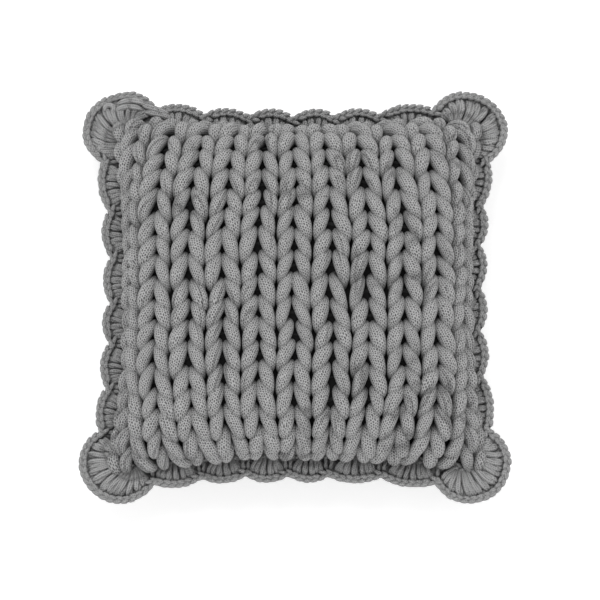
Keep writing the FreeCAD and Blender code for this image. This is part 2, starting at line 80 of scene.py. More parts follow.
def make_object(name, points, faces, material, body="pillow", uvs=None, painted_shade=None):
    """A smooth mesh object from points in millimetres, riding on a body.

    Each point's painted shade, from 0 to 1, is how deep it lies between its neighbours; the yarn's colour is
    darkened by it as shade painted in.
    """
    mesh = bpy.data.meshes.new(name)
    faces = np.asarray(faces, np.int32)
    mesh.vertices.add(len(points))
    mesh.vertices.foreach_set("co", (np.asarray(points, float) * MM).astype(np.float32).ravel())
    corners = faces.shape[1]
    mesh.loops.add(faces.size)
    mesh.loops.foreach_set("vertex_index", faces.ravel())
    mesh.polygons.add(len(faces))
    mesh.polygons.foreach_set("loop_start", np.arange(0, faces.size, corners, dtype=np.int32))
    mesh.polygons.foreach_set("use_smooth", np.ones(len(faces), bool))
    if uvs is not None:
        layer = mesh.uv_layers.new(name="strand")
        layer.data.foreach_set("uv", np.asarray(uvs, np.float32).ravel())
    if painted_shade is not None:
        shade = mesh.attributes.new("painted_shade", "FLOAT", "POINT")
        shade.data.foreach_set("value", np.asarray(painted_shade, np.float32))
    mesh.update()
    obj = bpy.data.objects.new(name, mesh)
    bpy.context.scene.collection.objects.link(obj)
    mesh.materials.append(material)
    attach(obj, body)
    return obj


def smooth_line(points, per_span):
    """Points along a cubic B-spline, which passes near its control points and has no corners."""
    points = np.asarray(points, float)
    padded = np.vstack([2 * points[0] - points[1], points, 2 * points[-1] - points[-2]])
    t = np.arange(per_span)[:, None] / per_span
    weights = [(1 - t) ** 3, 3 * t**3 - 6 * t**2 + 4, -3 * t**3 + 3 * t**2 + 3 * t + 1, t**3]
    spans = []
    for i in range(len(points) - 1):
        spans.append(sum(w * padded[i + k] for k, w in enumerate(weights)) / 6)
    end = (padded[-3] + 4 * padded[-2] + padded[-1]) / 6
    return np.vstack(spans + [end[None]])


# Shade is painted on a tube where the sine of the angle round it is under the first number, and fully so
# when it is less by the second.
SHADE_START, SHADE_REACH = 0.5, 0.9


def unit(vectors):
    return vectors / np.maximum(np.linalg.norm(vectors, axis=-1, keepdims=True), 1e-9)


class Strands:
    """Several closed tubes in one mesh. U runs once round a tube, V along it in stitches.

    stitch is one jersey stitch's length in millimetres, and shade how much shade is painted on a tube's
    underside, with about half as much on its sides.
    """

    def __init__(self, sides, stitch, shade=0.7):
        self.sides = sides
        self.stitch = stitch
        self.shade = shade
        self.points, self.faces, self.uvs, self.painted_shade = [], [], [], []
        self.total = 0

    def add(self, line, half_width, half_height, normals=None, painted_shade=0.0):
        """A tube round a line. Its height is measured along the normals, or along Z without them."""
        line = np.asarray(line, float)
        count, sides = len(line), self.sides
        half_width = np.broadcast_to(half_width, count)[:, None, None]
        half_height = np.broadcast_to(half_height, count)[:, None, None]
        tangent = unit(np.gradient(line, axis=0))
        if normals is None:
            normals = np.tile((0.0, 0.0, 1.0), (count, 1))
        side = unit(np.cross(tangent, normals))
        over = np.cross(side, tangent)
        angle = np.arange(sides)[None, :, None] * TAU / sides
        ring = side[:, None] * np.cos(angle) * half_width + over[:, None] * np.sin(angle) * half_height
        points = np.vstack([(line[:, None] + ring).reshape(-1, 3), line[0], line[-1]])

        i = np.arange(count - 1)[:, None] * sides
        j = np.arange(sides)[None, :]
        k = (j + 1) % sides
        walls = np.stack([i + j, i + k, i + sides + k, i + sides + j], -1).reshape(-1, 4)
        steps = np.linalg.norm(np.diff(line, axis=0), axis=1)
        along = np.concatenate([[0], np.cumsum(steps)]) / self.stitch
        shape = (count - 1, sides)
        u0, u1 = np.broadcast_to(j / sides, shape), np.broadcast_to((j + 1) / sides, shape)
        v0, v1 = np.broadcast_to(along[:-1, None], shape), np.broadcast_to(along[1:, None], shape)
        uvs = np.stack([u0, v0, u1, v0, u1, v1, u0, v1], -1).reshape(-1, 2)

        even = np.arange(0, sides, 2)
        start, last = count * sides, (count - 1) * sides
        tip = np.full(len(even), start)
        caps = np.vstack([
            np.stack([tip, (even + 2) % sides, even + 1, even], -1),
            np.stack([tip + 1, last + even, last + even + 1, last + (even + 2) % sides], -1),
        ])
        self.faces.append(np.vstack([walls, caps]) + self.total)
        self.uvs.append(np.vstack([uvs, np.zeros((caps.size, 2))]))
        self.points.append(points)
        # Each ring gets the line's own painted shade or the painted shade of its sides and underside,
        # whichever is darker.
        depth = np.broadcast_to(painted_shade, count)
        beside = self.shade * np.clip((SHADE_START - np.sin(angle[0, :, 0])) / SHADE_REACH, 0, 1)
        round_it = np.maximum(depth[:, None], beside[None, :]).ravel()
        self.painted_shade.append(np.concatenate([round_it, [depth[0], depth[-1]]]))
        self.total += len(points)

    def add_sheet(self, points, faces, painted_shade):
        """Other faces that belong to the same piece, all with one painted shade."""
        self.faces.append(np.asarray(faces) + self.total)
        self.uvs.append(np.zeros((np.asarray(faces).size, 2)))
        self.points.append(points)
        self.painted_shade.append(np.broadcast_to(painted_shade, len(points)))
        self.total += len(points)

    def finish(self, name, material, slot):
        return make_object(
            name, np.vstack(self.points), np.vstack(self.faces), material,
            uvs=np.vstack(self.uvs), painted_shade=np.concatenate(self.painted_shade),
        )


def rounded(count, blunt=0.25):
    """Radii from 0 to 1 and back to 0 along a short strand with round ends."""
    t = np.linspace(0, 1, count)
    return np.clip(np.minimum(t, 1 - t) / blunt, 0.0, 1.0) ** 0.5


# ---------------------------------------------------------------- materials

class Nodes:
    """Builds one material's node tree."""

    def __init__(self, name):
        self.material = bpy.data.materials.new(name)
        self.material.use_nodes = True
        self.tree = self.material.node_tree
        self.tree.nodes.clear()

    def add(self, kind, *inputs, **settings):
        made = self.tree.nodes.new(kind)
        for key, value in settings.items():
            setattr(made, key, value)
        for place, value in enumerate(inputs):
            self.set(made.inputs[place], value)
        return made

    def set(self, socket, value):
        if isinstance(value, bpy.types.NodeSocket):
            self.tree.links.new(value, socket)
        elif value is not None:
            socket.default_value = value

    def math(self, operation, *inputs, clamp=False):
        return self.add("ShaderNodeMath", *inputs, operation=operation, use_clamp=clamp).outputs[0]

    def noise(self, vector, scale, detail=2.0, roughness=0.5):
        made = self.add("ShaderNodeTexNoise")
        self.set(made.inputs["Vector"], vector)
        self.set(made.inputs["Scale"], scale)
        self.set(made.inputs["Detail"], detail)
        self.set(made.inputs["Roughness"], roughness)
        return made.outputs["Fac"]

    def ramp(self, value, low, high, first, second):
        """A colour between first and second as the value goes from low to high."""
        share = self.add("ShaderNodeMapRange", value, low, high, 0.0, 1.0).outputs[0]
        mix = self.add("ShaderNodeMix", data_type="RGBA")
        self.set(mix.inputs["Factor"], share)
        self.set(mix.inputs["A"], (*first, 1.0))
        self.set(mix.inputs["B"], (*second, 1.0))
        return mix.outputs["Result"]

    def object_position(self):
        return self.add("ShaderNodeTexCoord").outputs["Object"]

    def surface(self, colour, bumps, roughness, sheen=0.0, sheen_roughness=0.5, metallic=0.0, specular=0.5):
        """The shader, with bumps as (height, strength, distance in metres)."""
        shader = self.add("ShaderNodeBsdfPrincipled")
        self.set(shader.inputs["Base Color"], colour)
        self.set(shader.inputs["Roughness"], roughness)
        self.set(shader.inputs["Metallic"], metallic)
        self.set(shader.inputs["Specular IOR Level"], specular)
        self.set(shader.inputs["Sheen Weight"], sheen)
        self.set(shader.inputs["Sheen Roughness"], sheen_roughness)
        normal = None
        for height, strength, distance in bumps:
            bump = self.add("ShaderNodeBump")
            self.set(bump.inputs["Strength"], strength)
            self.set(bump.inputs["Distance"], distance)
            self.set(bump.inputs["Height"], height)
            self.set(bump.inputs["Normal"], normal)
            normal = bump.outputs["Normal"]
        self.set(shader.inputs["Normal"], normal)
        output = self.add("ShaderNodeOutputMaterial")
        self.tree.links.new(shader.outputs["BSDF"], output.inputs["Surface"])
        return self.material


def yarn_material(name, tone, columns, depth, hole_shade):
    """Fine jersey: staggered columns of small stitches that run along the strand.

    columns is their number round the strand, depth the bump in metres, and the last argument how much
    shade is painted into the holes between the stitches.
    """
    n = Nodes(name)
    split = n.add("ShaderNodeSeparateXYZ", n.add("ShaderNodeUVMap", uv_map="strand").outputs[0])
    place = n.object_position()
    wander = n.noise(place, 210.0, 1.0)
    around = n.math("MULTIPLY", split.outputs[0], float(columns))
    around = n.math("ADD", around, n.math("MULTIPLY", wander, 0.9))
    number = n.math("FLOOR", around)
    across = n.math("MULTIPLY_ADD", n.math("SUBTRACT", around, number), 2.0, -1.0)
    stagger = n.math("MULTIPLY", n.math("MODULO", number, 2.0), 0.5)
    along = n.math("ADD", split.outputs[1], n.math("ADD", stagger, n.math("MULTIPLY", wander, 1.6)))
    chevron = n.math("MULTIPLY_ADD", n.math("ABSOLUTE", across), -0.3, along)
    wave = n.math("COSINE", n.math("MULTIPLY", chevron, TAU))
    middle = n.math("SUBTRACT", 1.0, n.math("ABSOLUTE", across))
    hole = n.math("MULTIPLY", n.math("MULTIPLY_ADD", wave, -0.5, 0.5), middle)
    hole = n.math("MULTIPLY_ADD", hole, 2.0, -0.25, clamp=True)
    strength = n.math("MULTIPLY_ADD", n.noise(place, 330.0, 2.0), 1.6, 0.25)
    height = n.math("SUBTRACT", 1.0, n.math("MULTIPLY", hole, strength), clamp=True)
    # Rare creases along the strand: a bump dents them and painted shade darkens them.
    fold_around = n.math("MULTIPLY", split.outputs[0], 3.0)
    fold_along = n.math("MULTIPLY", split.outputs[1], 0.06)
    fold = n.noise(n.add("ShaderNodeCombineXYZ", fold_around, fold_along).outputs[0], 1.0, 0.0)
    off_line = n.math("ABSOLUTE", n.math("SUBTRACT", fold, 0.5))
    crease_and_shade = n.math("SUBTRACT", 1.0, n.math("MULTIPLY", off_line, 14.0), clamp=True)
    rare = n.math("MULTIPLY_ADD", n.noise(place, 19.0, 0.0), 6.0, -2.75, clamp=True)
    crease_and_shade = n.math("MULTIPLY", crease_and_shade, rare)
    fibre = n.noise(place, 1100.0, 3.0, 0.7)
    mottle = n.noise(place, 40.0, 3.0, 0.6)
    # Painted shade: the holes between the stitches are darkened.
    level = n.math("MULTIPLY_ADD", height, hole_shade, 1.0 - hole_shade)
    level = n.math("MULTIPLY", level, n.math("MULTIPLY_ADD", mottle, 0.22, 0.89))
    # Painted shade in the creases.
    level = n.math("MULTIPLY", level, n.math("MULTIPLY_ADD", crease_and_shade, -0.5, 1.0))
    level = n.math("MULTIPLY", level, n.math("MULTIPLY_ADD", fibre, 0.2, 0.9))
    # Painted shade carried on the mesh darkens the yarn where it lies deep and on its sides and underside.
    painted_shade = n.add("ShaderNodeAttribute", attribute_name="painted_shade").outputs["Fac"]
    level = n.math("MULTIPLY", level, n.math("MULTIPLY_ADD", painted_shade, -0.93, 1.0))
    colour = n.ramp(level, 0.0, 1.0, (0.0, 0.0, 0.0), (tone, tone, tone))
    bumps = [(fibre, 0.3, 0.0005), (crease_and_shade, -0.8, 0.002), (height, 0.9, depth)]
    return n.surface(colour, bumps, 0.92, sheen=0.1, sheen_roughness=0.6, specular=0.15)


def plain_cloth_material(name, tone, threads):
    """A plain weave, worked out from position, with so many threads to the metre."""
    n = Nodes(name)
    place = n.object_position()
    split = n.add("ShaderNodeSeparateXYZ", place)
    warp = n.math("SINE", n.math("MULTIPLY", split.outputs[0], threads * TAU))
    rise = n.math("ADD", split.outputs[1], split.outputs[2])
    weft = n.math("SINE", n.math("MULTIPLY", rise, threads * TAU))
    weave = n.math("MULTIPLY_ADD", n.math("MULTIPLY", warp, weft), 0.5, 0.5)
    slub = n.noise(place, 180.0, 3.0, 0.6)
    shade = n.math("MULTIPLY_ADD", slub, 0.6, n.math("MULTIPLY", weave, 0.4))
    colour = n.ramp(shade, 0.2, 0.9, tuple(c * 0.8 for c in tone), tone)
    return n.surface(colour, [(shade, 0.5, 0.0004)], 0.95, sheen=0.05, specular=0.15)


KNIT_YARN = yarn_material("knit_yarn", 0.475, 20, 0.0013, 0.75)
CROCHET_YARN = yarn_material("crochet_yarn", 0.47, 8, 0.0009, 0.62)
# The lining's near-black tone: partly its own dark colour, partly painted shade for the deep gaps.
LINING = plain_cloth_material("lining_cloth", (0.014, 0.014, 0.014), 900.0)
TICKING = plain_cloth_material("insert_ticking", (0.7, 0.69, 0.66), 900.0)
FIBRE = plain_cloth_material("polyester_fibre", (0.8, 0.8, 0.8), 300.0)


# ---------------------------------------------------------------- the knit's own surface

def signed_power(value, power):
    return np.sign(value) * np.abs(value) ** power


def knit_place(s, t):
    """The yarn's middle surface, for s across and t along the panel, both from -1 to 1."""
    even_s = 1 - np.clip(np.abs(t), 0, 1) ** CROWN_POWER
    even_t = 1 - np.clip(np.abs(s), 0, 1) ** CROWN_POWER
    full_s = s + even_s * FULLNESS * (s - signed_power(s, FULLNESS_POWER))
    full_t = t + even_t * FULLNESS * (t - signed_power(t, FULLNESS_POWER))
    x = (SEAM_X + KNIT_FLARE * np.abs(t) ** SIDE_FLARE_POWER) * full_s
    y = (SEAM_Y + KNIT_FLARE * np.abs(s) ** END_FLARE_POWER) * full_t
    right = np.clip(s, 0, 1) ** 2
    x = x + RIGHT_EASE * right
    y = y + RIGHT_EASE * right * np.clip(-t, 0, 1) ** 2
    z = SEAM_Z + KNIT_FOOT + (YARN_RISE - KNIT_FOOT) * np.maximum(even_s * even_t, 0) ** RIM_POWER
    return np.stack([x, y, z], -1)


def knit_normal(s, t):
    """The direction straight out of the knit's middle surface."""
    step = 0.004
    along_s = knit_place(s + step, t) - knit_place(s - step, t)
    along_t = knit_place(s, t + step) - knit_place(s, t - step)
    return unit(np.cross(along_s, along_t))


def evenly(share):
    """Spreads the columns and courses more evenly over the crown, which is steep at its rim."""
    middle = knit_place(SPACING_STEPS, np.zeros_like(SPACING_STEPS))
    length = np.concatenate([[0], np.cumsum(np.linalg.norm(np.diff(middle, axis=0), axis=1))])
    even = np.interp(np.abs(share), length / length[-1], SPACING_STEPS)
    return np.sign(share) * (EVENNESS * even + (1 - EVENNESS) * np.abs(share))


SPACING_STEPS = np.linspace(0, 0.999, 400)
EVENNESS = 0.65

# One half of a stitch, from the sinker loop at the column's edge, over the leg, to the top of the
# loop behind the next stitch. Each row: across in columns, along in courses, height over the middle
# surface in millimetres, half width and half height in yarn radii, and the shade painted on it where
# it lies sunk.
HALF_STITCH = (
    (0.50, -0.32, -9.5, 0.34, 0.30, 1.0),
    (0.26, -0.38, -9.5, 0.30, 0.32, 1.0),
    (0.13, -0.30, -9.0, 0.28, 0.45, 1.0),
    (0.120, -0.15, -3.0, 0.44, 0.65, 0.6),
    (0.150, 0.10, 3.0, 0.76, 0.95, 0.0),
    (0.212, 0.45, 3.8, 0.93, 1.02, 0.0),
    (0.285, 0.78, 0.8, 0.93, 1.00, 0.0),
    (0.352, 1.06, -3.8, 0.81, 0.90, 0.12),
    (0.388, 1.24, -7.2, 0.54, 0.65, 0.65),
    (0.31, 1.36, -10.0, 0.36, 0.40, 1.0),
    (0.12, 1.42, -10.5, 0.34, 0.30, 1.0),
)
FRONT_ALONG = (0, 1.3)  # the part of a stitch that lies on the front and is free to shift
HELD_SHARE = 0.3
SPANS = 5
STITCH_SIDES = 18
JERSEY_PITCH = 2.3


def wander(wale, row, start):
    """A slow drift over the panel, from about -1 to 1: hand knitting is never quite straight."""
    first = np.sin(0.9 * wale + 0.45 * row + start) * np.cos(0.61 * row - 0.37 * wale + 2 * start)
    second = np.sin(1.7 * row - 1.1 * wale + 3 * start)
    return 0.65 * first + 0.35 * second


def stitch_controls(rng):
    """The control points of one stitch from left to right, with hand-made unevenness."""
    lean = rng.uniform(-0.03, 0.03)
    tall = rng.uniform(-0.08, 0.08)
    halves = []
    for mirror in (-1, 1):
        fat = rng.uniform(0.86, 1.07)
        shift = rng.uniform(-0.02, 0.02)
        half = []
        for across, along, depth, wide, high, painted_shade in HALF_STITCH:
            loose = 1 if FRONT_ALONG[0] < along < FRONT_ALONG[1] else HELD_SHARE
            half.append((
                mirror * across + (lean + shift) * loose,
                along + tall * loose,
                depth + rng.uniform(-0.8, 0.8) * loose,
                wide * fat,
                high * fat,
                painted_shade,
            ))
        halves.append(half)
    left, right = halves
    middle = tuple((a + b) / 2 for a, b in zip(left[-1], right[-1]))
    return left + [middle] + right[::-1]


def add_knit_course(number, rng):
    """One course of the knit: a single strand that follows the path of its row of stitches."""
    controls = []
    for wale in range(WALES):
        for across, *rest in stitch_controls(rng):
            controls.append((wale + 0.5 + across, *rest))
    line = smooth_line(controls[2:-2], SPANS)
    row = number + line[:, 1]
    s = 2 / WALES * (line[:, 0] + DRIFT_ACROSS * wander(line[:, 0], row, 1.3)) - 1
    t = 2 / (COURSES + 0.9) * (0.45 + row + DRIFT_ALONG * wander(line[:, 0], row, 4.1)) - 1
    s = evenly(np.clip(s, -0.995, 0.995))
    t = evenly(np.clip(t, -0.998, 0.998))
    gather = np.where(t > 0, GATHER_TOP, GATHER_BOTTOM)
    drawn_in = 1 - gather * np.abs(t) ** GATHER_POWER * (1 - s**4)
    bent = 1 - COURSE_BEND * gather * np.abs(s) ** GATHER_POWER * (1 - t**4)
    s, t = s * drawn_in, t * bent
    normals = knit_normal(s, t)
    # The strand gets painted shade on its sides and underside, and where the table above sets it sunk.
    strand = Strands(STITCH_SIDES, JERSEY_PITCH)
    points = knit_place(s, t) + normals * line[:, 2:3]
    points[:, 2] = np.maximum(points[:, 2], SEAM_Z + LOWEST_STRAND)
    wide, high = YARN_RADIUS * line[:, 3], YARN_RADIUS * line[:, 4]
    strand.add(points, wide, high, normals, np.clip(line[:, 5], 0, 1))
    return strand.finish(f"knit_course_{number + 1:02d}", KNIT_YARN, "knit_yarn")


def add_knit():
    rng = random.Random(11)
    for number in range(COURSES):
        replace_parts(add_knit_course(number, rng), "knit_front_panel")


# The lining: its share of the knit's outline, its depth under the yarn's middle, and its grid
LINING_REACH, LINING_DEPTH, LINING_COUNT = 0.985, 7.5, 81

# The insert: how far it lies inside the seam, its rise to each side, its reach at the corners, and
# its grid. The fibre keeps inside the case, and both rest just over the back's cloth.
CASE_INSET, CASE_RISE = 8, 62
FIBRE_INSET, FIBRE_RISE = 10, 59
INSERT_FLARE, INSERT_POWER = 8, 0.7
CASE_FLOOR, FIBRE_FLOOR = 1.8, 3.2
CASE_APART = 0.2
INSERT_COUNT = 41


def grid_faces(rows, columns):
    """The four-sided faces of a grid of points."""
    index = np.arange(rows * columns).reshape(rows, columns)
    return np.stack([index[:-1, :-1], index[1:, :-1], index[1:, 1:], index[:-1, 1:]], -1).reshape(-1, 4)


def add_lining():
    """The dark cloth under the knit. Its near-black tone is partly the cloth's own colour and partly painted
    shade for the gaps between the stitches.
    """
    steps = np.linspace(-LINING_REACH, LINING_REACH, LINING_COUNT)
    s, t = np.meshgrid(steps, steps, indexing="ij")
    points = (knit_place(s, t) - knit_normal(s, t) * LINING_DEPTH).reshape(-1, 3)
    faces = grid_faces(LINING_COUNT, LINING_COUNT)
    lining = make_object("lining_sheet", points, faces, LINING)
    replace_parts(lining, "front_lining")


def crowned(steps, inset, rise, base, floor=None):
    """A grid of points over the seam's outline, drawn in by inset, that rises from base."""
    s, t = np.meshgrid(steps, steps, indexing="ij")
    even = np.maximum((1 - np.abs(s) ** CROWN_POWER) * (1 - np.abs(t) ** CROWN_POWER), 0)
    x = (SEAM_X - inset + INSERT_FLARE * np.abs(t) ** FLARE_POWER) * s
    y = (SEAM_Y - inset + INSERT_FLARE * np.abs(s) ** FLARE_POWER) * t
    z = base + rise * even**INSERT_POWER
    if floor is not None:
        z = np.maximum(z, floor)
    return np.stack([x, y, z], -1).reshape(-1, 3)


def add_insert():
    """The insert inside the cover: a case of ticking, front and back, and its fibre."""
    steps = np.sin(np.linspace(-1, 1, INSERT_COUNT) * math.pi / 2)
    faces = grid_faces(INSERT_COUNT, INSERT_COUNT)
    above = crowned(steps, CASE_INSET, CASE_RISE, SEAM_Z + CASE_APART)
    below = crowned(steps, CASE_INSET, -CASE_RISE, SEAM_Z - CASE_APART, CASE_FLOOR)
    front = make_object("insert_case_front", above, faces, TICKING)
    back = make_object("insert_case_back", below, faces[:, ::-1], TICKING)
    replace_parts(front, "insert_cover_front")
    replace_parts(back, "insert_cover_back")
    upper = crowned(steps, FIBRE_INSET, FIBRE_RISE, SEAM_Z)
    lower = crowned(steps, FIBRE_INSET, -FIBRE_RISE, SEAM_Z, FIBRE_FLOOR)
    inside = np.arange(INSERT_COUNT) % (INSERT_COUNT - 1) != 0
    inner = inside[:, None] & inside[None, :]
    total = INSERT_COUNT**2
    index = np.arange(total)
    shared = np.where(inner.ravel(), index + total, index)  # the rim's points serve both halves
    core = make_object(
        "fibre_core", np.vstack([upper, lower]), np.vstack([faces, shared[faces[:, ::-1]]]),
        FIBRE,
    )
    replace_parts(core, "fibre_fill")


add_knit()
add_lining()
add_insert()


# ---------------------------------------------------------------- the crocheted border

# Each side's scallops from left to right, or from bottom to top
SCALLOP_WIDTHS = {
    "left": (50, 50, 43, 50, 51, 58),
    "right": (64, 48, 47, 47, 45, 51),
    "top": (56, 49, 47, 44, 47, 63),
    "bottom": (54, 47, 45, 42, 56, 62),
}
CORNERS = {"top_right": (1, 1), "bottom_right": (1, -1), "bottom_left": (-1, -1), "top_left": (-1, 1)}
BASE_OUT = 9.4  # where the scallops start, outside the seam

# A fan's height in its middle and at its ends, and how much of its width it leaves free at each end.
# Then how far a corner fan reaches along the sides, and its heights.
SCALLOP_TIP, SCALLOP_SHOULDER, SCALLOP_TAPER = 19.0, 12.0, 2.0
CORNER_RUN, CORNER_SHOULDER, CORNER_TIP = 41.0, 14.5, 21.0

# The rounds, in millimetres: distance outside the rim or the seam, spacing, half width, leaf radius
EDGE_OUT, EDGE_SPACING, EDGE_HALF, EDGE_LEAF = 2.5, 7.6, 3.9, 2.75
FOUNDATION_OUT, FOUNDATION_SPACING, FOUNDATION_HALF, FOUNDATION_LEAF = 4.0, 7.5, 4.6, 2.7

# The strands along the top left corner's fold, and the middle and radii of its small loop
FOLD_LOOP, FOLD_LOOP_REACH, FOLD_LOOP_FAT = (-198.0, 206.0), (4.8, 4.2), 2.9
FOLD_RISE, FOLD_ARCH, FOLD_FAT = 4.2, 1.5, 3.3
FOLD_RUNS = (
    ((-192, 203), (-184, 207), (-172, 206), (-161, 202)),
    ((-190, 211), (-179, 214), (-166, 211), (-156, 207)),
    ((-163, 207), (-153, 204), (-143, 200), (-134, 197)),
    ((-160, 200), (-150, 198), (-140, 195), (-131, 193)),
)

# How far the corners' posts bow to one side
CORNER_SWEEP = {"top_left": 5.0, "top_right": -3.5, "bottom_left": 1.2, "bottom_right": -1.2}

YARN_PITCH = 2.0  # the crochet yarn's own jersey stitches
# The last number on each of these lines is the shade painted on the backing and on the valley band.
BACKING_OUT, BACKING_TOP, BACKING_UNDER, BACKING_PAINTED_SHADE = 2.5, -1.2, -2.6, 0.5
VALLEY_IN, VALLEY_OUT, VALLEY_TOP, VALLEY_UNDER, VALLEY_PAINTED_SHADE = -12.0, 23.5, -2.2, -3.4, 0.45


def seam_point(side, along, out):
    """A point of the seam's outline on one side, moved outwards."""
    upright = side in ("left", "right")
    half, other = (SEAM_X, SEAM_Y) if upright else (SEAM_Y, SEAM_X)
    reach = half + out + FLARE * abs(along / (other + FLARE + out)) ** FLARE_POWER
    if upright:
        return np.array((reach if side == "right" else -reach, along))
    return np.array((along, reach if side == "top" else -reach))


class Fan:
    """A scallop's place: its own X runs along the seam and its own Y outwards."""

    def __init__(self, name, origin, turn, reach, shoulder, tip):
        self.name, self.origin, self.reach, self.shoulder, self.tip = name, origin, reach, shoulder, tip
        self.x_axis = np.array((math.cos(turn), math.sin(turn)))
        self.y_axis = np.array((-math.sin(turn), math.cos(turn)))
        rise = tip - shoulder
        self.radius = (reach**2 + rise**2) / (2 * rise)
        self.half_angle = math.atan2(reach, self.radius - rise)

    def place(self, points):
        """From the fan's own X, Y and height to the pillow's frame."""
        flat = self.origin + points[:, :1] * self.x_axis + points[:, 1:2] * self.y_axis
        return np.column_stack([flat, SEAM_Z + points[:, 2] + border_lift(flat)])

    def rim(self, share, inward=0.0):
        """Points on the fan's round edge, for shares from -1 to 1."""
        angle = share * self.half_angle
        radius = self.radius - inward
        return np.stack([radius * np.sin(angle), self.tip - self.radius + radius * np.cos(angle)], -1)


# How far the border stands up from the seam, in millimetres: all round, by its wave, and by how much
# more in the middle of the top. The lift starts this far from the pillow's middle, is whole after the
# reach, and grows on to this many times as much.
LIFT, LIFT_WAVE, LIFT_MIDDLE_TOP = 14.0, 3.0, 12.0
LIFT_START, LIFT_REACH, LIFT_MOST = 165, 45, 1.2
LIFT_CORNER = 190  # where the corners are, along X and Y


def border_lift(flat):
    """How high the border stands. It waves on its way round, and lies flat at the top corners."""
    x, y = flat[:, 0], flat[:, 1]
    out = np.clip((np.maximum(np.abs(x), np.abs(y)) - LIFT_START) / LIFT_REACH, 0, LIFT_MOST)
    wave = np.sin(x * 0.037 + 1.0) * np.cos(y * 0.041 - 0.6) + 0.6 * np.sin(x * 0.09 - y * 0.07)
    top = np.clip(y / LIFT_CORNER, 0, 1) ** 4
    side = np.clip(np.abs(x) / LIFT_CORNER, 0, 1)
    top_corner, middle_top = top * side**4, top * (1 - side**3)
    return out * (LIFT_WAVE * wave + LIFT - LIFT * top_corner + LIFT_MIDDLE_TOP * middle_top)


def fans():
    """Every scallop of the border, in the order in which they follow each other round the pillow."""
    made = []
    for side, widths in SCALLOP_WIDTHS.items():
        start = -sum(widths) / 2
        for number, width in enumerate(widths, 1):
            low, high = seam_point(side, start, BASE_OUT), seam_point(side, start + width, BASE_OUT)
            chord = low - high if side in ("right", "bottom") else high - low
            turn = math.atan2(chord[1], chord[0])
            reach = width / 2 - SCALLOP_TAPER
            made.append(Fan(f"{side}_{number}", (low + high) / 2, turn, reach, SCALLOP_SHOULDER, SCALLOP_TIP))
            start += width
    corner = np.array((SEAM_X, SEAM_Y)) + FLARE + BASE_OUT
    along = seam_point("right", corner[1] - CORNER_RUN, BASE_OUT) - corner
    half_angle = math.atan2(-along[1], -along[0]) - math.pi / 4
    reach = CORNER_RUN * math.sin(half_angle) + CORNER_SHOULDER * math.cos(half_angle)
    shoulder = -CORNER_RUN * math.cos(half_angle) + CORNER_SHOULDER * math.sin(half_angle)
    for name, (right, up) in CORNERS.items():
        turn = math.atan2(up, right) - math.pi / 2
        made.append(Fan(name, corner * (right, up), turn, reach, shoulder, CORNER_TIP))
    return sorted(made, key=lambda fan: math.atan2(fan.origin[1], fan.origin[0]))


# A post's fullness from its foot to its top, and how its two strands lie: how far from the middle,
# and how thick, as shares of the post's radius
POST_SHARES, POST_FULLNESS = (0, 0.35, 0.62, 0.85, 1), (0.40, 0.82, 1.12, 1.0, 0.62)
POST_APART, POST_STRAND = 0.42, 0.66
POST_ARCH, POST_DIP = 1.4, 2.0


def add_post(strands, fan, foot, top, radius, rng, turns=0.5, sweep=0.0):
    """A double crochet post: two strands twisted round each other, fuller towards the top."""
    count = 17
    t = np.linspace(0, 1, count)
    foot, top = np.asarray(foot, float), np.asarray(top, float)
    run = top - foot
    across = np.array((-run[1], run[0])) / np.linalg.norm(run)
    bend = np.sin(t * math.pi) * (sweep + rng.uniform(-0.7, 0.7))
    middle = foot + run * t[:, None] + across * bend[:, None]
    puff = np.interp(t, POST_SHARES, POST_FULLNESS) * rng.uniform(0.86, 1.08)
    start = rng.uniform(-0.5, 0.5)
    ends = rounded(count, 0.16) * 0.85 + 0.15
    for half in (0, math.pi):
        angle = start + half + t * turns * TAU
        flat = middle + across * (np.cos(angle) * radius * POST_APART * puff)[:, None]
        bow = POST_ARCH * np.sin(t * math.pi) - POST_DIP * (1 - ends)
        height = np.sin(angle) * radius * POST_APART * puff + bow
        fat = radius * POST_STRAND * puff * ends
        strands.add(fan.place(np.column_stack([flat, height])), fat, fat * 1.1)


def add_backing(strands, fan, foot_y):
    """A closed sheet behind a scallop, which stands for the crossed strands at the posts' back. It is
    darkened with painted shade, so that the gaps between the posts show dark.
    """
    columns, rows = 25, 5
    share = np.linspace(-1, 1, columns)
    rim = fan.rim(share, -BACKING_OUT)
    base = np.column_stack([rim[:, 0] * 0.8, np.full(columns, foot_y)])
    step = np.linspace(0, 1, rows)[:, None, None]
    flat = (base[None] + (rim - base)[None] * step).reshape(-1, 2)
    upper = fan.place(np.column_stack([flat, np.full(len(flat), BACKING_TOP)]))
    lower = fan.place(np.column_stack([flat, np.full(len(flat), BACKING_UNDER)]))
    faces = grid_faces(rows, columns)
    count = rows * columns
    ring = np.concatenate([
        np.arange(columns), np.arange(2 * columns - 1, count, columns),
        np.arange(count - 2, count - columns - 1, -1), np.arange(count - 2 * columns, 0, -columns),
    ])
    following = np.roll(ring, -1)
    walls = np.stack([ring, following, following + count, ring + count], -1)
    sheet = np.vstack([faces[:, ::-1], faces + count, walls])
    strands.add_sheet(np.vstack([upper, lower]), sheet, BACKING_PAINTED_SHADE)


def add_fold(strands):
    """The strands along the top left corner's fold, and a small loop. The shell itself stays flat."""
    turn = np.linspace(math.radians(215), math.radians(-75), 13)
    loop = np.array(FOLD_LOOP) + np.column_stack([np.cos(turn), np.sin(turn)]) * FOLD_LOOP_REACH
    for line, fat in [(loop, FOLD_LOOP_FAT)] + [(run, FOLD_FAT) for run in FOLD_RUNS]:
        flat = smooth_line(line, 5)
        share = np.linspace(0, 1, len(flat))
        height = SEAM_Z + border_lift(flat) + FOLD_RISE + FOLD_ARCH * np.sin(share * math.pi)
        size = fat * (rounded(len(flat), 0.25) * 0.75 + 0.25)
        strands.add(np.column_stack([flat, height]), size, size)


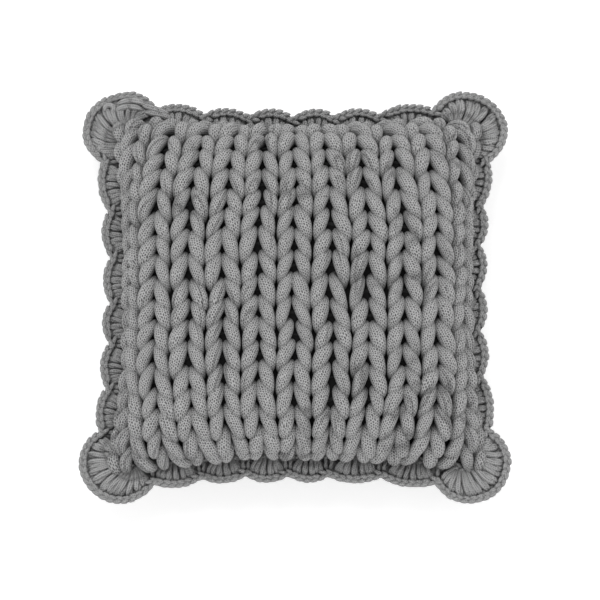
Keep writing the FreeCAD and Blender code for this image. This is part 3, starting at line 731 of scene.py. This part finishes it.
def add_scallop(fan, rng):
    """One crocheted shell: a fan of posts, which bunch together in groups, over its backing."""
    corner = fan.name in CORNERS
    # Posts and fold strands get painted shade on their sides and undersides.
    strands = Strands(12, YARN_PITCH)
    spread, spacing, groups = (0.97, 9.0, 3) if corner else (0.80, 7.0, 1)
    arc = 2 * fan.half_angle * fan.radius * spread
    posts = round(arc / spacing) + 1
    width = arc / (posts - 1)
    for step in np.linspace(-1, 1, posts):
        bunch = math.sin(groups * math.pi * (step + 1))
        share = spread * (step - 0.11 * bunch / groups) + rng.uniform(-0.012, 0.012)
        gap = 0.5 + 0.5 * math.cos(groups * math.pi * (step + 1))
        top = fan.rim(np.array([share]), rng.uniform(-0.3, 1.3) + 1.8 * gap)[0]
        foot = (top[0] * 0.30, -20.0 - 5 * abs(share)) if corner else (top[0] * 0.42, -9.0)
        radius = width * (0.53 - 0.07 * gap)
        add_post(strands, fan, foot, top, radius, rng, sweep=CORNER_SWEEP.get(fan.name, 0.0))
    if not corner:
        for end in (-1, 1):
            x = end * (fan.reach - 0.4)
            add_post(strands, fan, (x * 0.96, -7.0), (x, fan.shoulder - 1.6), 1.9, rng, 1.2)
    if fan.name == "top_left":
        add_fold(strands)
    add_backing(strands, fan, -30.0 if corner else -8.0)
    piece = strands.finish(f"crochet_shell_{fan.name}", CROCHET_YARN, "crochet_yarn")
    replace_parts(piece, f"scallop_{fan.name}")


def along_line(points, spacing):
    """Evenly spaced points on a closed line, with the direction at each."""
    points = np.vstack([points, points[:1]])
    steps = np.linalg.norm(np.diff(points, axis=0), axis=1)
    length = np.concatenate([[0], np.cumsum(steps)])
    count = round(length[-1] / spacing)
    where = np.arange(count) * length[-1] / count
    placed = np.stack([np.interp(where, length, points[:, k]) for k in range(2)], -1)
    tangent = unit(np.roll(placed, -1, axis=0) - np.roll(placed, 1, axis=0))
    return placed, tangent


def add_braid(outline, spacing, half, fat, rng):
    """A round of single crochet: two rows of overlapping leaves, like a plait, over a core."""
    # The leaves get painted shade on their sides and undersides.
    strands = Strands(10, YARN_PITCH, 0.45)
    middles, tangents = along_line(outline, spacing)
    for middle, tangent in zip(middles, tangents):
        outward = np.array((tangent[1], -tangent[0]))
        for offset in (-1, 1):
            t = np.linspace(-0.5, 0.5, 9)
            out = offset * half * (0.40 - 0.95 * t) + rng.uniform(-0.3, 0.3)
            ahead = (t + 0.25 * offset) * spacing * 1.3
            flat = middle + tangent * ahead[:, None] + outward * out[:, None]
            height = SEAM_Z + border_lift(flat) + 1.2 - t * 3.6 + rng.uniform(-0.4, 0.4)
            size = fat * (rounded(9, 0.5) * 0.9 + 0.1) * rng.uniform(0.88, 1.1)
            strands.add(np.column_stack([flat, height]), size, size * 1.15)
    # The core under the leaves is painted nearly black with shade.
    core = np.vstack([middles, middles[:1]])
    core = np.column_stack([core, SEAM_Z + border_lift(core) - 1.4])
    strands.add(core, half * 0.8, 1.8, painted_shade=0.95)
    return strands


def add_valley_cover(strands):
    """The foundation's closed band, which shows in the valleys between the scallops. It is darkened with
    painted shade.
    """
    inner, outer = base_outline(VALLEY_IN), base_outline(VALLEY_OUT)
    count = len(inner)
    edges = ((inner, VALLEY_TOP), (outer, VALLEY_TOP), (outer, VALLEY_UNDER), (inner, VALLEY_UNDER))
    ring = [np.column_stack([line, SEAM_Z + border_lift(line) + z]) for line, z in edges]
    i = np.arange(count)
    k = (i + 1) % count
    faces = []
    for a, b in ((0, 1), (1, 2), (2, 3), (3, 0)):
        faces.append(np.stack([i + a * count, k + a * count, k + b * count, i + b * count], -1))
    strands.add_sheet(np.vstack(ring), np.vstack(faces), VALLEY_PAINTED_SHADE)


def edge_outline(all_fans, out):
    """The line of the edging round, over every scallop and into the valleys between them."""
    points = []
    for fan in all_fans:
        share = np.linspace(1.0, -1.0, 25)
        rim = fan.rim(share, -out)
        points.append(fan.origin + rim[:, :1] * fan.x_axis + rim[:, 1:] * fan.y_axis)
    return np.vstack(points)


def base_outline(out):
    """The seam's outline, moved outwards, all the way round."""
    points = []
    reach = SEAM_X + FLARE + out, SEAM_Y + FLARE + out
    for side, sign in (("right", 1), ("top", -1), ("left", -1), ("bottom", 1)):
        span = reach[1] if side in ("left", "right") else reach[0]
        points += [seam_point(side, sign * span * k / 40, out) for k in range(-40, 40)]
    return np.array(points)


def add_border():
    rng = random.Random(23)
    everything = fans()
    for fan in everything:
        add_scallop(fan, rng)
    edge = edge_outline(everything, EDGE_OUT)
    edging = add_braid(edge, EDGE_SPACING, EDGE_HALF, EDGE_LEAF, rng)
    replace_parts(edging.finish("crochet_edging", CROCHET_YARN, "crochet_yarn"), "border_edge_round")
    base = base_outline(FOUNDATION_OUT)
    foundation = add_braid(base, FOUNDATION_SPACING, FOUNDATION_HALF, FOUNDATION_LEAF, rng)
    add_valley_cover(foundation)
    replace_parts(foundation.finish("crochet_base_round", CROCHET_YARN, "crochet_yarn"), "border_base_round")


add_border()


# ---------------------------------------------------------------- the woven back and its zip

BACK_OUT = 5.0  # outside the seam's outline
BACK_DEPTH, BACK_POWER = 62.0, 0.41
BACK_TOP = 59.6
BACK_GAP = 0.84  # between the cloth's two faces, along each axis

# The opening for the zip: half its length, its distance in front of the middle, its lower and upper
# hem, and the rings of the cloth that it takes out
ZIP_HALF = 129.5
ZIP_FRONT = 174.9
HEM_LOW, HEM_HIGH = 37.6, 54.4
FIRST_OPEN_RING, LAST_OPEN_RING = 3, 9

# How far the puckers, folds and slack move the cloth, and how far it is drawn in under them
PUCKER, FOLD, SLACK, DRAWN_IN = 1.5, 3.6, 2.0, 1.6

THREAD_RADIUS, THREAD_STITCH, THREAD_STEP, THREAD_END = 0.28, 2.3, 3.2, 131.0
COIL_PITCH, COIL_FRONT, COIL_BULGE = 1.6, 173.5, 0.7


def back_height(x, y):
    """The height of the back's outer face, and of the floor where it rests."""
    s, t = np.zeros_like(x), np.zeros_like(y)
    for _ in range(8):
        s = x / (SEAM_X + BACK_OUT + FLARE * np.abs(t) ** FLARE_POWER)
        t = y / (SEAM_Y + BACK_OUT + FLARE * np.abs(s) ** FLARE_POWER)
    even = np.maximum((1 - np.clip(s, -1, 1) ** 4) * (1 - np.clip(t, -1, 1) ** 4), 0)
    return np.maximum(BACK_TOP - BACK_DEPTH * even**BACK_POWER, 0)


def smooth_step(low, high, value):
    """From 0 at low to 1 at high, without a corner at either."""
    t = np.clip((value - low) / (high - low), 0, 1)
    return t * t * (3 - 2 * t)


def back_rings(rim):
    """Rings of points from the seam down to the floor and in to the middle."""
    reach = np.linspace(1, 0.5, 260)
    heights = np.concatenate([
        [BACK_TOP, 58, 56, HEM_HIGH, 52, 49.5, 47, 44.5, 42, 39.8, HEM_LOW],
        np.linspace(35.5, 3, 24), (1.8, 0.9, 0.3),
    ])
    columns = []
    for x, y in rim:
        height = back_height(x * reach, y * reach)
        columns.append(np.interp(-heights, -height[height > 0.02], reach[height > 0.02]))
    reach = np.array(columns).T
    inner = reach[-1] * np.linspace(0.95, 0.02, 18)[:, None]
    reach = np.vstack([reach, inner])
    z = np.concatenate([heights, np.zeros(18)])
    return np.stack([rim[:, 0] * reach, rim[:, 1] * reach, np.broadcast_to(z[:, None], reach.shape)], -1)


def wrinkled(points, way):
    """Puckers that run in from the seam, and slack folds that gather at the corners."""
    x, y, z = points[..., 0], points[..., 1], points[..., 2]
    near_seam = smooth_step(12, 58, z)
    corner = (np.minimum(np.abs(x), np.abs(y)) / np.maximum(np.maximum(np.abs(x), np.abs(y)), 1)) ** 3
    away = 1 - smooth_step(150, 134, np.abs(x)) * smooth_step(-120, -160, y)
    pucker = np.sin(way * 61 + 1.5 * np.sin(way * 7 + 0.4)) * (0.6 + 0.4 * np.sin(way * 13 + 1.1))
    fold = np.sin(way * 23 + 0.03 * z + 1.9 * np.sin(way * 3 + 1.0)) * (0.35 + 1.0 * corner)
    slack = np.sin(0.045 * x + 0.02 * y + 0.7) * np.sin(0.031 * y - 0.04 * z + 0.4)
    lift = PUCKER * pucker * near_seam + FOLD * fold * smooth_step(4, 30, z) * (1 - 0.5 * near_seam)
    lift = lift + SLACK * slack * smooth_step(2, 25, z)
    return (lift - DRAWN_IN * smooth_step(0, 10, z)) * away * (1 - smooth_step(56, 59, z))


def add_back():
    """The back panel: woven cotton, drawn in at the seam and flat where it rests on the floor."""
    rim = base_outline(BACK_OUT)
    points = back_rings(rim)
    way = np.arctan2(rim[:, 1], rim[:, 0])[None, :]
    rings, columns = points.shape[:2]
    out = unit(np.stack([np.cos(way), np.sin(way), np.full_like(way, -0.9)], -1))
    points = points + out * wrinkled(points, way)[..., None]
    x, y, z = points[..., 0].copy(), points[..., 1].copy(), points[..., 2]
    held = smooth_step(150, 136, np.abs(x)) * smooth_step(-140, -160, y)
    held = held * smooth_step(14, 33, z) * (1 - smooth_step(55.5, 59.5, z))
    points[..., 1] = y * (1 - held) - ZIP_FRONT * held
    points[..., 2] = np.maximum(z, 0.0)
    inner = points - np.stack([np.cos(way), np.sin(way), -np.ones_like(way)], -1) * BACK_GAP
    outer, inner = points.reshape(-1, 3), inner.reshape(-1, 3)
    i = np.arange(rings - 1)[:, None] * columns
    j = np.arange(columns)[None, :]
    k = (j + 1) % columns
    walls = np.stack([i + j, i + columns + j, i + columns + k, i + k], -1)
    middle = (points[:-1] + np.roll(points[:-1], -1, axis=1)) / 2
    level = np.arange(rings - 1)[:, None] + 0 * j
    in_hem = (level >= FIRST_OPEN_RING) & (level <= LAST_OPEN_RING)
    open_here = in_hem & (middle[..., 1] < -150) & (np.abs(middle[..., 0]) < ZIP_HALF)
    kept = walls[~open_here]
    total = rings * columns
    edges = {}
    for face in kept:
        for a, b in zip(face, np.roll(face, -1)):
            if (b, a) in edges:
                del edges[(b, a)]
            else:
                edges[(a, b)] = True
    rims = np.array([(b, a, a + total, b + total) for a, b in edges])
    faces = np.vstack([kept, kept[:, ::-1] + total, rims])
    used = np.unique(faces)
    renumbered = np.zeros(2 * total, int)
    renumbered[used] = np.arange(len(used))
    both = np.vstack([outer, inner])[used]
    panel = make_object("back_cloth_panel", both, renumbered[faces], BACK_CLOTH)
    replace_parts(panel, "back_panel")


def add_topstitching():
    """Two rows of thread that hold the zip's tapes under the cloth's folded edges."""
    strands = Strands(6, 1.6)
    for height in (HEM_LOW - 1.6, HEM_HIGH + 1.0):
        for x in np.arange(-THREAD_END, THREAD_END, THREAD_STEP):
            k = np.linspace(0, THREAD_STITCH, 6)
            front = -ZIP_FRONT - 0.1 - 0.35 * np.sin(math.pi * k / THREAD_STITCH)
            run = np.column_stack([x + k, front, np.full(6, height)])
            strands.add(run, THREAD_RADIUS, THREAD_RADIUS, np.tile((0.0, -1.0, 0.0), (6, 1)))
    strands.finish("zip_topstitching", THREAD, "back_cloth")


def add_teeth():
    """The zip's coils: close loops that meet in the middle."""
    for name, low, high, start in (("lower", 43.1, 46.9, -124.6), ("upper", 45.1, 48.9, -123.8)):
        strands = Strands(8, COIL_PITCH, 0.3)
        for x in np.arange(start, 124.8, COIL_PITCH):
            t = np.linspace(0, 1, 7)
            front = -COIL_FRONT - COIL_BULGE * np.sin(t * math.pi)
            line = np.column_stack([np.full(7, x), front, low + (high - low) * t])
            wide = 0.62 * (rounded(7, 0.3) * 0.7 + 0.3)
            strands.add(line, wide, 0.5, np.tile((0.0, -1.0, 0.0), (7, 1)))
        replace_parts(strands.finish(f"zip_coil_{name}", ZIP_PLASTIC, "zip_teeth"), f"zip_teeth_{name}")


def slub_material(name, tone):
    """Plain-woven cotton with thicker threads here and there, in both directions."""
    n = Nodes(name)
    split = n.add("ShaderNodeSeparateXYZ", n.object_position())
    rise = n.math("MULTIPLY_ADD", split.outputs[2], 0.7, split.outputs[1])
    threads = []
    for along, cross in ((split.outputs[0], rise), (rise, split.outputs[0])):
        long, fine = n.math("MULTIPLY", along, 70.0), n.math("MULTIPLY", cross, 950.0)
        stretched = n.add("ShaderNodeCombineXYZ", long, fine)
        threads.append(n.noise(stretched.outputs[0], 1.0, 1.0))
    weave = n.math("MAXIMUM", threads[0], threads[1])
    cloud = n.noise(n.object_position(), 14.0, 3.0, 0.6)
    level = n.math("MULTIPLY_ADD", weave, 1.0, 0.35)
    level = n.math("MULTIPLY", level, n.math("MULTIPLY_ADD", cloud, 0.25, 0.875))
    colour = n.ramp(level, 0.0, 1.0, (0.0, 0.0, 0.0), (tone, tone, tone))
    return n.surface(colour, [(weave, 0.8, 0.0007)], 0.95, sheen=0.05, specular=0.15)


def zip_tape_material():
    """Herringbone tape, woven along the zip."""
    n = Nodes("zip_tape")
    split = n.add("ShaderNodeSeparateXYZ", n.object_position())
    along = n.math("MULTIPLY", split.outputs[0], 1400.0)
    zigzag = n.math("PINGPONG", n.math("MULTIPLY", split.outputs[2], 1400.0), 1.0)
    wave = n.math("SINE", n.math("MULTIPLY", n.math("ADD", along, zigzag), TAU))
    fuzz = n.noise(n.object_position(), 900.0, 2.0)
    height = n.math("MULTIPLY_ADD", wave, 0.35, fuzz)
    colour = n.ramp(height, 0.1, 0.9, (0.075, 0.075, 0.077), (0.15, 0.15, 0.153))
    return n.surface(colour, [(height, 0.6, 0.0003)], 0.9, sheen=0.05, specular=0.2)


def plastic_material():
    """The coils' dark nylon."""
    n = Nodes("zip_plastic")
    cloud = n.noise(n.object_position(), 240.0, 2.0)
    colour = n.ramp(cloud, 0.2, 0.8, (0.085, 0.085, 0.087), (0.12, 0.12, 0.122))
    return n.surface(colour, [(cloud, 0.15, 0.0002)], 0.38, specular=0.5)


def metal_material():
    """Nickel plate with fine brush marks and darker worn patches."""
    n = Nodes("zip_metal")
    place = n.object_position()
    split = n.add("ShaderNodeSeparateXYZ", place)
    scales = (60.0, 2500.0, 2500.0)
    drawn = n.add("ShaderNodeCombineXYZ", *(
        n.math("MULTIPLY", side, scale) for side, scale in zip(split.outputs, scales)
    ))
    marks = n.noise(drawn.outputs[0], 1.0, 2.0)
    worn = n.noise(place, 160.0, 3.0)
    colour = n.ramp(worn, 0.25, 0.75, (0.42, 0.42, 0.43), (0.62, 0.62, 0.63))
    rough = n.math("MULTIPLY_ADD", marks, 0.2, 0.24)
    return n.surface(colour, [(marks, 0.25, 0.0001)], rough, metallic=1.0)


BACK_CLOTH = slub_material("back_cloth", 0.34)
THREAD = plain_cloth_material("thread", (0.33, 0.33, 0.33), 1500.0)
ZIP_PLASTIC = plastic_material()


def dress_zip():
    """The zip's tapes, stops, slider and tab keep their CAD shapes, and get their materials here."""
    tape, metal = zip_tape_material(), metal_material()
    finishes = {
        "zip_tape_upper": tape, "zip_tape_lower": tape, "zip_top_stop": metal,
        "zip_bottom_stop": metal, "zip_slider": metal, "zip_pull_tab": metal,
    }
    for node, finish in finishes.items():
        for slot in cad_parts[node].material_slots:
            slot.material = finish


add_back()
add_topstitching()
add_teeth()
dress_zip()


# ---------------------------------------------------------------- floor, light and camera

FLOOR_REACH = 8.0
FLOOR_GLOW = 0.45
WORLD_STRENGTH = 0.62
LIGHTS = (("key", (-0.5, 0.9, 2.6), 1.6, 26), ("fill", (0.9, -1.2, 2.4), 1.8, 12))
LIGHTS_AIM = Vector((0, 0, 0.1))


def add_floor():
    """A white floor that glows a little, so that the picture's background is pure white."""
    n = Nodes("floor")
    shade = n.noise(n.object_position(), 3.0, 2.0)
    material = n.surface(n.ramp(shade, 0.0, 1.0, (0.9, 0.9, 0.9), (0.92, 0.92, 0.92)), [], 0.9)
    glow = n.tree.nodes["Principled BSDF"]
    glow.inputs["Emission Color"].default_value = (1, 1, 1, 1)
    glow.inputs["Emission Strength"].default_value = FLOOR_GLOW
    mesh = bpy.data.meshes.new("floor")
    corners = [(x * FLOOR_REACH, y * FLOOR_REACH, 0) for x, y in ((-1, -1), (1, -1), (1, 1), (-1, 1))]
    mesh.from_pydata(corners, [], [(0, 1, 2, 3)])
    floor = bpy.data.objects.new("floor", mesh)
    bpy.context.scene.collection.objects.link(floor)
    mesh.materials.append(material)


def add_area(name, place, width, watts):
    light = bpy.data.lights.new(name, "AREA")
    light.shape = "DISK"
    light.size = width
    light.energy = watts
    obj = bpy.data.objects.new(name, light)
    obj.location = place
    obj.rotation_mode = "QUATERNION"
    obj.rotation_quaternion = (LIGHTS_AIM - Vector(place)).to_track_quat("-Z", "Y")
    bpy.context.scene.collection.objects.link(obj)


def add_lights():
    world = bpy.data.worlds.new("studio")
    world.use_nodes = True
    world.node_tree.nodes["Background"].inputs[0].default_value = (1, 1, 1, 1)
    world.node_tree.nodes["Background"].inputs[1].default_value = WORLD_STRENGTH
    bpy.context.scene.world = world
    for name, place, width, watts in LIGHTS:
        add_area(name, place, width, watts)


CAMERA_ELEVATION = math.radians(77)
CAMERA_DISTANCE = 6.0
VIEW_WIDTH = 0.6348
LOOK_AT = Vector((0.0053, -0.0021, 0.060))


def add_camera():
    camera = bpy.data.cameras.new("camera")
    camera.sensor_width = 36
    camera.lens = camera.sensor_width * CAMERA_DISTANCE / VIEW_WIDTH
    obj = bpy.data.objects.new("camera", camera)
    back = Vector((0, -math.cos(CAMERA_ELEVATION), math.sin(CAMERA_ELEVATION)))
    obj.location = LOOK_AT + back * CAMERA_DISTANCE
    obj.rotation_mode = "QUATERNION"
    obj.rotation_quaternion = (-back).to_track_quat("-Z", "Y")
    bpy.context.scene.collection.objects.link(obj)
    bpy.context.scene.camera = obj


add_floor()
add_lights()
add_camera()
bpy.context.scene.view_settings.view_transform = "Standard"
